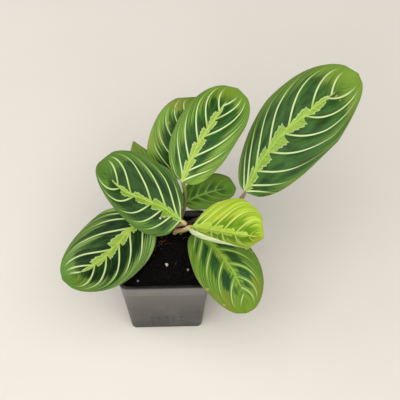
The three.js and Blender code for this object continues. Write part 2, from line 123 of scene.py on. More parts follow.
class Nodes:
    """The nodes of one material or world, with the steps that come back in every finish."""

    def __init__(self, name, kind=bpy.data.materials):
        self.owner = kind.new(name)
        self.owner.use_nodes = True
        self.tree = self.owner.node_tree
        self.tree.nodes.clear()
        self.spot = self.add("TexCoord", out="Object")

    def add(self, kind, sockets=None, out=0, **settings):
        made = self.tree.nodes.new("ShaderNode" + kind)
        for key, value in settings.items():
            setattr(made, key, value)
        for key, value in (sockets or {}).items():
            if isinstance(value, bpy.types.NodeSocket):
                self.tree.links.new(value, made.inputs[key])
            else:
                value = linear(value) if isinstance(value, str) else value
                made.inputs[key].default_value = value
        return made.outputs[out] if made.outputs else made

    def split(self, vector):
        return self.add("SeparateXYZ", {0: vector}).node.outputs

    def marks(self, name):
        return self.split(self.add("Attribute", attribute_name=name, out="Vector"))

    def calc(self, operation, first, second=0.0, third=0.0):
        return self.add("Math", {0: first, 1: second, 2: third}, operation=operation)

    def times(self, first, *others):
        for other in others:
            first = self.calc("MULTIPLY", first, other)
        return first

    def plus(self, base, value, factor=1.0):
        """base + value * factor"""
        return self.calc("MULTIPLY_ADD", value, factor, base)

    def minus(self, base, value):
        return self.calc("SUBTRACT", base, value)

    def step(self, value, low, high, start=0.0, end=1.0):
        return self.add("MapRange", {0: value, 1: low, 2: high, 3: start, 4: end},
                        interpolation_type="SMOOTHSTEP")

    def fade(self, value, low, high):
        return self.step(value, low, high, 1.0, 0.0)

    def blend(self, factor, under, over, mode="MIX"):
        return self.add("Mix", {0: factor, 6: under, 7: over}, out=2, data_type="RGBA",
                        blend_type=mode)

    def layers(self, colour, *layers):
        """Lay shades over a colour in turn; each layer is a mask and a shade."""
        for mask, shade in layers:
            colour = self.blend(mask, colour, shade)
        return colour

    def cloud(self, scale, detail=3.0, place=None, rough=.5):
        return self.add("TexNoise", {"Vector": place or self.spot, "Scale": scale,
                                     "Detail": detail, "Roughness": rough})

    def place(self, x, y=0.0, z=0.0):
        return self.add("CombineXYZ", {0: x, 1: y, 2: z})

    def ramp(self, value, stops):
        result = self.add("ValToRGB", {0: value})
        elements = result.node.color_ramp.elements
        while len(elements) < len(stops):
            elements.new(.5)
        for element, (spot, shade) in zip(elements, stops):
            element.position = spot
            element.color = linear(shade) if isinstance(shade, str) else [shade] * 3 + [1]
        return result

    def bump(self, height, strength, depth_mm):
        return self.add("Bump", {"Height": height, "Strength": strength,
                                 "Distance": depth_mm * MM})

    def finish(self, colour, rough, normal, shine=.5, **more):
        sockets = {"Base Color": colour, "Roughness": rough, "Normal": normal,
                   "Specular IOR Level": shine, **more}
        self.add("OutputMaterial", {"Surface": self.add("BsdfPrincipled", sockets)})
        return self.owner


# %% [markdown]
# ## Camera
#
# The plant is seen from well above with a long lens, as when somebody stands over it and holds
# the camera at arm's length. The camera is placed from one aim point, its elevation and its
# distance, so that each of the three can be changed alone.

# %% Camera
AIM = Vector((37, 81, 60)) * MM
ELEVATION = math.radians(57.7)
TURN = math.radians(1.4)
DISTANCE = 1254 * MM
LENS_MM, SENSOR_MM = 108, 36


def stand(thing, place, sight):
    """Put a camera or a lamp at a place, looking along `sight`."""
    thing.location = place
    thing.rotation_mode = "QUATERNION"
    thing.rotation_quaternion = sight.to_track_quat("-Z", "Y")
    show(thing)


sight = Vector((math.sin(TURN) * math.cos(ELEVATION), math.cos(TURN) * math.cos(ELEVATION),
                -math.sin(ELEVATION)))
camera_data = bpy.data.cameras.new("camera")
camera_data.sensor_width = SENSOR_MM
camera_data.lens = LENS_MM
camera = bpy.data.objects.new("camera", camera_data)
stand(camera, AIM - sight * DISTANCE, sight)
bpy.context.scene.camera = camera
print("camera at", [round(c, 3) for c in camera.location])

# %% [markdown]
# ## Leaf markings
#
# A living leaf is a thin waxy skin over soft green tissue. A lime feather runs along the midrib
# and reaches out between the side veins in ragged lobes. Beside it lie dark velvety patches,
# which fray into a plain green margin along fine lines that follow the veins. The side veins
# are drawn as pale lines that swing forward and run out along the edge.
#
# A painted image could hold all this, but a formula stays sharp at any distance. Every point of
# a blade knows how far along and across it lies, how many veins it has passed (`count` rises by
# one from vein to vein) and the real widths in mm. A short function turns those numbers into
# each marking.

# %% What every point of a leaf knows
MEAN = .5  # a noise value wavers about this one
NOISE_SPAN = .25, .75  # and hardly ever leaves this range


def read_numbers(n, seed):
    n.along, n.across, n.count = n.marks("leaf_place")
    n.pitch, n.width, n.upper = n.marks("leaf_sizes")
    n.half = n.calc("ABSOLUTE", n.across)
    n.left = n.step(n.across, -.01, .01)
    n.from_rib = n.times(n.half, n.width)
    n.edge = n.minus(n.width, n.from_rib)
    n.off_vein = n.times(n.calc("PINGPONG", n.count, .5), n.pitch)

    def grain(along_veins, across_veins, detail, scale=1):
        spot = n.place(n.times(n.count, across_veins), n.times(n.half, along_veins),
                       n.plus(seed, n.left, 7))
        return n.cloud(scale, detail, spot)

    n.lines = grain(1, 12, 2)  # about twelve tissue lines from vein to vein
    n.fine_lines = grain(2, 30, 3)
    n.blotch = grain(2.4, 1.1, 3, 1.7)
    n.ragged = grain(8, 5, 2)
    n.stain = n.cloud(38)  # olive patches about 25 mm across
    lobe_number = n.plus(n.left, n.calc("FLOOR", n.count), 3.7)
    n.chance = n.cloud(1, 0, n.place(lobe_number, seed, n.left))


def side_of(n, pair):
    return n.step(n.left, 0, 1, pair[1], pair[0])


# %% Side veins
VEIN_SOFT = .28  # mm over which the edge of a vein blends
ROOT_REACH = .24  # share of the half width at which a vein has thinned to its usual width
VEIN_TIP = .95  # no vein is drawn beyond this share of the length


def vein_mask(n, look):
    root = n.step(n.along, .1, look.apex, look.root, look.vein)
    root = n.step(n.half, .03, ROOT_REACH, root, look.vein)
    thickness = n.times(root, n.step(n.half, .3, .98, 1, .45))
    mask = n.step(n.minus(thickness, n.off_vein), -VEIN_SOFT, VEIN_SOFT)
    return n.times(mask, n.fade(n.half, look.vein_end - .2, look.vein_end),
                   n.fade(n.along, VEIN_TIP - .1, VEIN_TIP),
                   n.fade(n.count, look.veins + .45, look.veins + .5),
                   n.step(n.edge, .2, 1.2))


# %% Lime feather along the midrib
LOBE_SOFT = .5  # mm over which the edge of the feather blends
LOBE_LEAN = .8  # how far the lobes lean towards the tip, in veins over the half width
LOBE = [(0, .12), (.15, .28), (.27, .62), (.33, .50), (.46, .85), (.53, .74), (.66, 1),
        (.72, .82), (.81, .98), (.86, .50), (.91, .16), (1, .12)]  # from vein to vein


def feather_depth(n, look):
    """How deep inside the feather a point lies, in mm."""
    part = n.plus(n.calc("FRACT", n.count), n.half, LOBE_LEAN)
    lobe = n.times(n.ramp(part, LOBE), side_of(n, look.lobe), n.width,
                   n.step(n.chance, *NOISE_SPAN, .7, 1.3),
                   n.fade(n.along, look.apex - .25, look.apex),
                   n.step(n.along, 0, look.plain_base, .3, 1))
    lobe = n.plus(lobe, n.step(n.along, .1, look.apex, look.band, .1))
    lobe = n.plus(lobe, n.minus(n.ragged, MEAN), look.ragged)
    lobe = n.plus(lobe, n.step(n.along, look.apex - .05, look.apex + .05, 0, -3))
    return n.minus(lobe, n.from_rib)


# %% Dark patches, frayed towards the margin
LANCE = [(0, .02), (.45, .10), (.8, .14), (1, .06)]  # reach grows towards the next vein
INSET_SOFT = .04  # share of the half width over which the inner edge of a patch blends


def patch_mask(n, look):
    short = n.fade(n.along, look.apex - .10, look.apex + .08)
    reach = n.times(side_of(n, look.reach), short)
    reach = n.plus(reach, n.ramp(n.calc("FRACT", n.count), LANCE))
    reach = n.plus(reach, n.step(n.chance, *NOISE_SPAN, .12, -.12))
    frayed = n.plus(n.half, n.minus(n.lines, MEAN), look.fray)
    return n.times(n.step(n.minus(reach, frayed), -.02, look.soft),
                   n.step(n.half, look.inset - INSET_SOFT, look.inset + INSET_SOFT), short,
                   n.step(n.off_vein, look.halo - .4, look.halo + .6),
                   n.step(n.fine_lines, .56, .72, 1, .5),
                   n.step(n.along, look.plain_base * .3, look.plain_base * .8), look.patch)


# %% Small dry flecks where the blade was once bruised, and painted highlights: glints of water drops
FLECK_AND_GLINT_LENGTH = 90  # length of a usual blade in mm, to tell distances along it
FLECK_AND_GLINT_STRENGTH = .8


def fleck_and_glint_mask(n, look):
    """`flecks` lists how far along, how far across, and the radius in mm; pale ones are painted
    highlights of water drops.
    """
    total = 0.0
    for along, across, radius in look.flecks:
        down = n.times(n.minus(n.along, along), FLECK_AND_GLINT_LENGTH)
        aside = n.times(n.minus(n.across, across), n.width)
        away = n.calc("SQRT", n.plus(n.times(down, down), n.times(aside, aside)))
        away = n.plus(away, n.minus(n.blotch, MEAN), 3)
        total = n.calc("MAXIMUM", total, n.step(away, radius, radius * .4))
    return n.times(total, FLECK_AND_GLINT_STRENGTH)


# %% Colour of the whole leaf, and its relief
def leaf_colour(n, look):
    vein, deep = vein_mask(n, look), feather_depth(n, look)
    aged = n.times(n.step(n.stain, .48, .68, 0, look.aged), n.step(n.along, .1, .9, .4, 1))
    green = n.layers(look.green[0], (n.step(n.lines, .41, .58), look.green[1]),
                     (n.step(n.fine_lines, .4, .65, 0, .45), look.green[0]),
                     (n.step(n.along, look.apex - .1, 1, 0, .85), look.tip),
                     (aged, look.stain))
    dark = n.blend(n.step(n.blotch, .3, .7), *look.dark)
    lime = n.layers(look.lime[0], (n.step(n.lines, *NOISE_SPAN), look.lime[1]),
                    (n.step(n.half, .05, .22, 0, look.lobe_green), look.green[1]),
                    (n.step(deep, .2, 1.3, look.rim, 0), look.pale))
    outer = n.calc("MAXIMUM", n.step(n.half, .04, .3), n.step(n.along, .65, .8))
    line = n.layers(look.lime[1], (outer, look.pale),
                    (n.step(n.half, .6, .95, 0, .6), look.green[1]))
    midrib = n.times(n.step(n.from_rib, .8, .25, 0, .7),  # 0.8 mm either side
                     n.fade(n.along, look.apex - .2, look.apex))
    above = n.layers(green, (patch_mask(n, look), dark),
                     (n.step(deep, -LOBE_SOFT, LOBE_SOFT), lime),
                     (n.times(vein, look.vein_strength), line), (midrib, look.rib),
                     (n.step(n.edge, .75, .2, 0, look.edge_strength), look.edge_tint),
                     # dry flecks, and on two leaves painted highlights: pale glints of water drops
                     (fleck_and_glint_mask(n, look), look.fleck))
    below = n.layers(look.under[0], (n.step(n.off_vein, 1.1, .3, 0, .7), look.under[1]),
                     (n.step(n.lines, .3, .7, 0, .25), look.under[1]))
    return n.blend(n.upper, below, above), vein, midrib


def leaf_finish(name, look):
    # living leaf: satin waxy skin, so broad soft highlights lie over sharp markings
    n = Nodes("living_leaf_" + name)
    read_numbers(n, look.seed)
    colour, vein, midrib = leaf_colour(n, look)
    height = n.plus(n.times(n.lines, .34), vein, .12)
    height = n.plus(n.plus(height, n.fine_lines, .14), midrib, -.10)
    rough = n.plus(.34, n.blotch, .16)
    return n.finish(colour, rough, n.bump(height, .9, 1), .28, IOR=1.42,
                    **{"Sheen Weight": .03, "Sheen Roughness": .4})


# %% The looks of the nine leaves
# in mm: vein, root, band, ragged, halo; as shares of the half width: lobe, reach, soft, inset,
# fray, vein_end; as shares of the length: apex, plain_base; the others are strengths or colours
BASE_LOOK = dict(
    vein=.74, root=1.4, vein_end=.93, vein_strength=.95, lobe=(.18, .18), band=2.2, ragged=2.2,
    rim=.7, lobe_green=.45, reach=(.62, .62), soft=.22, inset=0, fray=.75, halo=.3, apex=.82,
    plain_base=.05, patch=1, edge_strength=.5, aged=.4, stain="#6a7d20",
    green=("#37601c", "#6c9138"), dark=("#16380e", "#2a571a"), lime=("#82a834", "#9fc044"),
    pale="#d2e3a4", rib="#bbd85e", tip="#66902e", edge_tint="#6e7446", fleck="#b49a5a", flecks=(),
    under=("#8fa982", "#b9cba6"))
LOOKS = {
    "right_long": dict(lobe=(.19, .2), reach=(.86, .94), apex=.84, band=1.5,
        green=("#3d5c1a", "#7c963e"), dark=("#1c3e12", "#3e6a24"), lime=("#7ea03a", "#a0c24c"),
        aged=.2, tip="#80a438", fray=.9, flecks=((.8, -.14, 1.3), (.8, -.34, 1), (.75, -.05, .9)),
        vein=.8),
    "back_upright": dict(lobe=(.12, .15), reach=(.6, .66), band=1.5, ragged=1.6, plain_base=.2,
        dark=("#143a08", "#2c5d16"), green=("#3d651a", "#7ca03a"), tip="#789a2e",
        # the pale fleck on this leaf is a painted highlight, the glint of a water drop
        lime=("#7e9c34", "#a0b84a"), stain="#747f24", apex=.87, fleck="#d8d0a0",
        flecks=((.8, .66, .8),)),
    "back_hidden": dict(lobe=(.12, .12), reach=(.66, .66), band=3, dark=("#1e420c", "#365c1c"),
        green=("#527c24", "#88ac42"), vein=.5, aged=.6, stain="#80802a", edge_tint="#7a6440",
        fleck="#a08838", flecks=((.62, .6, 2.2), (.8, .62, 2.6))),
    "left_upper": dict(lobe=(.2, .1), reach=(.78, .8), band=1.7, vein=.8, plain_base=.15,
        dark=("#112f05", "#264c0e"), apex=.8, green=("#2e5216", "#5d842c"), tip="#4e741e",
        # the pale fleck on this leaf is a painted highlight, the glint of a water drop
        pale="#c0d88c", lime=("#6e9220", "#8cac34"), fleck="#e6dcb8", flecks=((.17, .37, .9),)),
    "left_lower": dict(lobe=(.18, .15), reach=(.66, .78), band=1.3, green=("#2f5218", "#86a656"),
        dark=("#0b2208", "#1d3f12"), lime=("#809f36", "#a6c24e"), tip="#608c30", fray=.9, apex=.86),
    "young_lime": dict(lobe=(.14, .14), reach=(.36, .4), band=3, vein=.55, rim=.4, patch=.95,
        root=.9, apex=.95, halo=.5, lobe_green=.2, green=("#98b82a", "#bcd646"),
        dark=("#548208", "#749c1a"), lime=("#a8c636", "#c0da54"), pale="#d6e88c", rib="#cbe064",
        tip="#a2bd34", edge_tint="#e2d6a0", edge_strength=.8, under=("#c6d3a2", "#d8e1b6"),
        stain="#c0b83a", aged=.5, fleck="#d8b860", flecks=((.72, -.8, 1.8), (.06, .7, 1.6))),
    "right_lower": dict(lobe=(.05, .06), reach=(.54, .56), band=1.7, vein=.55, rim=.2, patch=.94,
        halo=2.1, fray=.25, vein_end=.8, soft=.1, inset=.17, vein_strength=.9, lobe_green=.6,
        plain_base=.2, green=("#487220", "#80a03a"), tip="#6c8c18", dark=("#153a1e", "#28542a"),
        lime=("#6f962c", "#8cae38"), pale="#bdd488", rib="#a4c24e", aged=.8, stain="#748420",
        edge_tint="#75663e", edge_strength=.7,
        flecks=((.66, -.93, 2), (.87, -.9, 1.4), (.5, .97, 1.2))),
    "small_shaded": dict(lobe=(.05, .05), reach=(.4, .4), band=.9, vein=.34, patch=.6,
        green=("#466f24", "#6f9834"), pale="#8aaa50", lime=("#6c923a", "#80a446"), rib="#8cae52",
        rim=0, halo=1.2),
    "left_pointed": dict(lobe=(.03, .03), reach=(.2, .2), band=1, vein=.3, patch=.3,
        green=("#66943a", "#8ab052"), pale="#aac874", tip="#8c9a40", rim=0),
}

# %% [markdown]
# ## Leaf shape
#
# Each half of a blade leaves the midrib at a fold angle and droops to its edge, the side veins
# sweep forward, and the tissue quilts up between them. Sculpted by hand, nine leaves would share
# no logic. Here each leaf is a row of measurements, the same ones that shape its plain CAD
# solid, and one formula turns them into a fine surface.
#
# In a pair the first value is the left half, seen from above with the tip ahead. `veins` says
# where the side veins of each half leave the midrib, as shares of its length. The lowest ones
# start below the blade, so only their outer ends cross it. `flow` says how they swing forward:
# a straight lean and a bend towards the edge, each with its change from base to tip. `wander`
# says how many mm the midrib strays to the left on its way, at six even steps. What a leaf
# doesn't name, it takes from `PLAIN_LEAF`.

# %% Measurements of the leaves
PLAIN_LEAF = dict(
    bend=0, point=2.6, stalk_bow=(0, 0), furl=0, furl_end=1, wander=(0,) * 6,
    veins=((-.1, .08, .25, .42, .6),) * 2, flow=((.25, .02, .045, .08),) * 2)
LEAVES = {
    "right_long": dict(base=(80.6, 44.6, 130), tip=(193.4, 138.9, 193.7), roll=7,
        half=(36.8, 40.5), widest=(.5, .6), low_round=(1.2, 2.7), high_round=(2.4, 1.2),
        arch=17.5, bend=5.3, fold=5.9, droop=(-2, -13), point=3, foot=(16.5, 25), stalk=1.7,
        stalk_bow=(0, -3), wander=(0, 3.6, 3.6, 0, -2.4, 0),
        veins=((-.109, -.002, .138, .279, .455, .636, .783),
        (-.007, .043, .14, .278, .418, .581, .756)),
        flow=((.305, -.074, .032, .081), (.092, .039, .009, .374))),
    "back_upright": dict(base=(18.3, 44.9, 150), tip=(74.1, 118.5, 200.5), roll=-4.5,
        half=(32.5, 31.7), widest=(.5, .58), low_round=(2.2, 2.5), high_round=(2.7, 2.5),
        arch=11.6, fold=3, droop=(-16, -7), point=4, foot=(15.5, 30.5), stalk=1.6,
        stalk_bow=(5.5, 1.5), wander=(0, 0, .6, -.8, 0, 0),
        veins=((-.216, .029, .195, .386, .537, .73), (-.017, .094, .244, .455, .642, .793)),
        flow=((.305, .008, .051, .056), (.257, .141, .025, .318))),
    "back_hidden": dict(base=(11, 66, 124), tip=(35, 129, 174), roll=5, half=(33, 32),
        widest=(.38, .48), low_round=(2.3, 2.1), high_round=(2.4, 2.1), arch=7, fold=13,
        droop=(-6, -10), foot=(6, 30), stalk=1.5, veins=((-.13, .05, .2, .37, .55, .72),) * 2),
    "left_upper": dict(base=(17.1, 15.6, 127.7), tip=(-64.3, 84.1, 127.9), roll=-20,
        half=(26.6, 39.2), widest=(.3, .31), low_round=(2.5, 1.5), high_round=(1.2, 2.75),
        arch=5.2, bend=6, fold=11.8, droop=(-36, 14), point=3, foot=(11, 26), stalk=1.6,
        wander=(0, -4, -1.5, 3, 2, 0), veins=((-.042, .085, .192, .314, .49, .652),
        (-.127, .016, .161, .316, .523, .68)),
        flow=((.092, -.024, .018, .138), (.283, .182, .066, .139))),
    "left_lower": dict(base=(-16.8, 31.8, 105.7), tip=(-97.4, -37.7, 110.1), roll=-10.4,
        half=(35.5, 35.1), widest=(.57, .36), low_round=(2.3, 2.2), high_round=(1.9, 2), arch=-3,
        bend=4.9, fold=15.4, droop=(-2, 4), point=5, foot=(5.5, 24.5), stalk=1.5,
        wander=(0, -4.5, -2, 1.5, 1, 0), veins=((-.184, .012, .196, .355, .531, .667),
        (-.173, -.04, .161, .453, .684, .822)),
        flow=((.3, -.041, .053, .004), (.377, .212, .097, .207))),
    "young_lime": dict(base=(27.8, 6.5, 130), tip=(94.3, -19.1, 148.8), roll=-9, half=(38, 36.2),
        widest=(.48, .48), low_round=(1.4, 2.1), high_round=(1.7, 2.2), arch=1, bend=-1, fold=18,
        droop=(-8, 0), point=3, foot=(11, 20.5), stalk=2.1, stalk_bow=(2.5, -1.5), furl=118,
        furl_end=.88, veins=((-.1, .05, .273, .431, .612),) * 2,
        flow=((.26, -.032, .035, .045),) * 2),
    "right_lower": dict(base=(30.6, 12.2, 112), tip=(77.6, -71.8, 99), roll=-5, half=(29.4, 33.2),
        widest=(.58, .5), low_round=(2.1, 1.5), high_round=(1.7, 1.9), arch=10.6, bend=5.1,
        fold=7.1, droop=(-10, -8), point=5, foot=(16.5, 19.5), stalk=1.5,
        wander=(0, 0, .5, 2, 2.5, 0), veins=((-.02, .12, .295, .49, .645, .76),
        (-.017, .096, .245, .438, .643, .832)), flow=((.2, -.02, .1, 0), (.205, .099, .034, .241))),
    "small_shaded": dict(base=(20, 42, 116), tip=(72, 55, 122), roll=1, half=(19, 17.5),
        widest=(.52, .42), low_round=(2.1, 2.1), high_round=(2.2, 2), arch=3, bend=2, fold=11,
        droop=(-8, -9), foot=(11, 33.5), stalk=1.2),
    "left_pointed": dict(base=(-1, 45, 106), tip=(-30, 118, 116), roll=2, half=(21, 21),
        widest=(.48, .48), low_round=(2.1, 2.1), high_round=(1.25, 1.25), arch=2, bend=1, fold=5,
        droop=(-10, -12), point=.6, foot=(.5, 31.5), stalk=1.2),
}
LEAVES = {name: SimpleNamespace(**{**PLAIN_LEAF, **leaf}) for name, leaf in LEAVES.items()}
STALK_JOINT = .8  # half width where a blade meets its stalk
BLUNT_BASE = 3.5  # how fast a blade widens at its base; `point` says it for the tip
CORNER_SOFT = 1.2  # mm over which the oval and the blunt ends blend
PLEAT, EDGE_FLAT = 1.3, .65  # height of the quilting in mm, and the share lost at the edge
FULL_PLEAT = 14  # mm between veins where the quilting is at its full height
EDGE_WAVE, WAVE_WIDTH = .28, 12  # mm by which the edge waves, where a half is this wide
BEND_STEPS = 24  # straight steps in a half's curve from rib to edge
WANDER_REACH, WANDER_SUM = .13, 1.09  # reach of one value of `wander`, and what they add up to


# %% Frame, outline and vein count
def leaf_frame(leaf):
    base, tip = np.array(leaf.base, float), np.array(leaf.tip, float)
    length = np.linalg.norm(tip - base)
    forward = (tip - base) / length
    level = unit(np.array([0, 0, 1.0]) - forward * forward[2])
    side = np.cross(level, forward)
    roll = math.radians(leaf.roll)
    left = side * math.cos(roll) + level * math.sin(roll)
    face = level * math.cos(roll) - side * math.sin(roll)
    return base, forward, length, left, face * leaf.arch + left * leaf.bend


def pick(pair, s):
    return np.where(s > 0, pair[0], pair[1])


def half_width(leaf, length, u, s):
    widest = pick(leaf.widest, s)
    beyond = u > widest
    reach = np.where(beyond, (u - widest) / (1 - widest), (widest - u) / widest)
    power = np.where(beyond, pick(leaf.high_round, s), pick(leaf.low_round, s))
    oval = pick(leaf.half, s) * np.sqrt(np.clip(1 - reach ** power, 0, 1))
    taper = np.minimum(u * BLUNT_BASE, (1 - u) * leaf.point) * length
    low = .5 * (oval + taper - np.sqrt((oval - taper) ** 2 + CORNER_SOFT ** 2))
    return np.maximum(low, 0) + STALK_JOINT


def between(start, end, leave, arrive, f):
    """Smooth way from start to end, with the slopes at which it leaves and arrives."""
    return (start * (1 + 2 * f) * (1 - f) ** 2 + leave * f * (1 - f) ** 2
            + end * f * f * (3 - 2 * f) + arrive * f * f * (f - 1))


def smooth_through(x, y, at):
    """A curve through the points (x, y) that never swings back."""
    slope = np.diff(y) / np.diff(x)
    tangent = np.concatenate([[slope[0]], 2 / (1 / slope[:-1] + 1 / slope[1:]), [slope[-1]]])
    i = np.clip(np.searchsorted(x, at, side="right") - 1, 0, len(x) - 2)
    h = x[i + 1] - x[i]
    f = np.clip((at - x[i]) / h, 0, 1)
    return between(y[i], y[i + 1], h * tangent[i], h * tangent[i + 1], f)


def vein_total(leaf):
    return max(map(len, leaf.veins))


def vein_count(leaf, u, s):
    """Side veins passed on the way from the base; whole numbers lie on a vein."""
    last = vein_total(leaf)
    across = np.abs(s)
    bend = across ** 2 / (1.15 - across)
    halves = []
    for veins, (lean, lean_change, curve, curve_change) in zip(leaf.veins, leaf.flow):
        start = (u - lean * across - curve * bend) / (1 + lean_change * across
                                                      + curve_change * bend)
        first = last - len(veins) + 1
        x = np.array([veins[0] - 2, veins[0] - .08, *veins, .5 + .5 * veins[-1], 1.0])
        y = np.array([first - .6, first - .5, *range(first, last + 3)], float)
        halves.append(smooth_through(x, y, start))
    return np.where(s > 0, halves[0], halves[1])


# %% Blade surface
def blade_surface(leaf, u, s, seed, pitch=None):
    base, forward, length, left0, bow = leaf_frame(leaf)
    across = np.abs(s)
    tangent = unit(forward * length + bow * (4 * (1 - 2 * u))[..., None])
    left = unit(left0 - tangent * (tangent @ left0)[..., None])
    face = np.cross(tangent, left)
    width = half_width(leaf, length, u, s)
    opening = np.clip(1 - u / leaf.furl_end, 0, 1) ** .45
    furl = np.where(s < 0, leaf.furl * opening, 0)
    out, rise = np.zeros_like(u), np.zeros_like(u)
    for i in range(BEND_STEPS):
        at = across * (i + .5) / BEND_STEPS
        angle = np.radians(leaf.fold + pick(leaf.droop, s) * at + furl * at ** 3)
        out += np.cos(angle) * across * width / BEND_STEPS
        rise += np.sin(angle) * across * width / BEND_STEPS
    count = vein_count(leaf, u, s)
    if pitch is not None:
        height = PLEAT * across * (1 - EDGE_FLAT * across) * np.minimum(1, pitch / FULL_PLEAT)
        rise -= height * np.cos(2 * np.pi * count) * (count < vein_total(leaf) + 1)
        wave = np.sin(u * 17 + seed) + .6 * np.sin(u * 31 + 2.3 * seed + 2 * s)
        rise += EDGE_WAVE * wave * across ** 2 * np.minimum(1, width / WAVE_WIDTH)
    stray = sum(mm * hump(u - at, WANDER_REACH)
                for mm, at in zip(leaf.wander, np.linspace(0, 1, 6))) / WANDER_SUM
    points = (base + forward * (length * u)[..., None] + bow * (4 * u * (1 - u))[..., None]
              + left * (np.sign(s) * out + stray * (1 - across))[..., None]
              + face * rise[..., None])
    return points, width, count


def slopes(points, u_line, s_line):
    return np.gradient(points, u_line, axis=0), np.gradient(points, s_line, axis=1)


def vein_pitch(points, count, u_line, s_line):
    """Distance in mm from one vein to the next at every point of the blade."""
    du, ds = slopes(points, u_line, s_line)
    cu, cs = slopes(count, u_line, s_line)
    uu, us, ss = (np.sum(a * b, axis=-1) for a, b in ((du, du), (du, ds), (ds, ds)))
    steepness = ss * cu ** 2 - 2 * us * cu * cs + uu * cs ** 2
    steepness = steepness / np.maximum(uu * ss - us ** 2, 1e-3)
    return np.clip(1 / np.sqrt(np.maximum(steepness, 1e-4)), .5, 60)


# %% [markdown]
# The surface then gets a top skin and an under skin, joined by a rounded rim. The midrib is a
# shallow groove on top and a ridge below, as it is on the plant, where it carries the blade.

# %% Build one blade
ROWS, HALF_COLUMNS = 140, 32
SKIN, RIM_BULGE = .26, .12  # half the thickness in mm, and how far the rim stands out
GROOVE, RIDGE = .22, 1.05  # depth of the midrib above and its height below, in mm
GROOVE_HALF, RIDGE_HALF = .9, 1.1
THIN_RIM = 2  # mm from the edge where the blade starts to thin
RIM_LIGHT = .8  # the rim takes this much of the colour of the top


def blade_grid():
    tau = np.linspace(0, 1, ROWS)
    u_line = .35 * tau + .65 * (.5 - .5 * np.cos(np.pi * tau))
    half = np.linspace(0, 1, HALF_COLUMNS + 1)
    half = half * (.6 + .4 * half)
    return u_line, np.concatenate([-half[:0:-1], half])


def build_blade(name, leaf, seed):
    u_line, s_line = blade_grid()
    u, s = np.meshgrid(u_line, s_line, indexing="ij")
    plain, width, count = blade_surface(leaf, u, s, seed)
    pitch = vein_pitch(plain, count, u_line, s_line)
    middle_columns = slice(HALF_COLUMNS - 1, HALF_COLUMNS + 2)
    pitch[:, middle_columns] = pitch[:, [HALF_COLUMNS - 2]]
    points, _, _ = blade_surface(leaf, u, s, seed, pitch)
    du, ds = slopes(points, u_line, s_line)
    normal = unit(np.cross(du, ds))
    normal[0], normal[-1] = normal[1], normal[-2]
    rib, edge = s * width, (1 - np.abs(s)) * width
    groove, ridge = hump(rib, GROOVE_HALF) * (1 - u), hump(rib, RIDGE_HALF) * (1 - u)
    thin = np.clip(edge / THIN_RIM, .35, 1)
    top = points + normal * ((SKIN - GROOVE * groove) * thin)[..., None]
    under = points - normal * ((SKIN + RIDGE * ridge) * thin)[..., None]

    total = u.size
    index = np.arange(total).reshape(u.shape)
    outline = np.concatenate([index[:, 0], index[-1, 1:], index[-2::-1, -1], index[0, -2:0:-1]])
    middle = points.reshape(-1, 3)[outline]
    ahead = unit(np.roll(middle, -1, axis=0) - np.roll(middle, 1, axis=0))
    outward = np.cross(normal.reshape(-1, 3)[outline], ahead)
    inward = points[:, HALF_COLUMNS][outline // u.shape[1]] - middle
    outward *= np.where(np.sum(outward * inward, axis=1) > 0, -1, 1)[:, None]
    all_points = np.concatenate([top.reshape(-1, 3), under.reshape(-1, 3),
                                 middle + outward * RIM_BULGE])
    rim = 2 * total + np.arange(len(outline))
    next_rim, next_edge = np.roll(rim, -1), np.roll(outline, -1)
    upper_band = columns(outline, rim, next_rim, next_edge)
    lower_band = columns(rim, total + outline, total + next_edge, next_rim)
    quads = np.stack([index[:-1, :-1], index[1:, :-1], index[1:, 1:], index[:-1, 1:]], axis=-1)
    quads = quads.reshape(-1, 4)
    faces = np.concatenate([quads, total + quads[:, ::-1], upper_band, lower_band])

    def everywhere(*grids):
        return [np.concatenate([v.ravel(), v.ravel(), v.ravel()[outline]]) for v in grids]

    upper = np.repeat([1, 0, RIM_LIGHT], [total, total, len(outline)])
    marks = {"leaf_place": columns(*everywhere(u, s, count)),
             "leaf_sizes": columns(*everywhere(pitch, width), upper)}
    look = SimpleNamespace(**{**BASE_LOOK, **LOOKS[name]}, veins=vein_total(leaf),
                           seed=float(seed))
    piece = make_piece("leaf_" + name, all_points, faces, leaf_finish(name, look), marks)
    settle(piece, "young_leaf" if name == "young_lime" else "leaf", "blade_" + name)
    return piece


for number, (leaf_name, leaf) in enumerate(LEAVES.items()):
    blade = build_blade(leaf_name, leaf, 3.1 * number + 1)
    print(blade.name, "points", len(blade.data.vertices))

# %% [markdown]
# ## Leaf stalks
#
# Each stalk rises from a sheath in the potting mix, runs up as a thin rod with a shallow groove
# on top, and ends in a short swollen knee that lets the leaf turn to the light. A tube along a
# smooth curve is the plain way to make one. The curve passes through the same points as the CAD
# stalk, and the radius is changed along it for the sheath and the knee.

# %% Stalk finish
def stalk_finish(kind, stops):
    # living stalk, smooth and faintly ribbed: tan and browned below, greener near the leaf; the
    # dark kind is painted nearly black as painted shade
    n = Nodes("living_stalk_" + kind)
    along, around, _ = n.marks("stalk_place")
    ribs = n.add("TexWave", {"Vector": n.place(around), "Scale": 7, "Distortion": 1.5})
    colour = n.blend(n.cloud(420), n.ramp(along, stops), "#8c6f4c", "SOFT_LIGHT")
    return n.finish(colour, .42, n.bump(ribs, .35, .15), IOR=1.42)


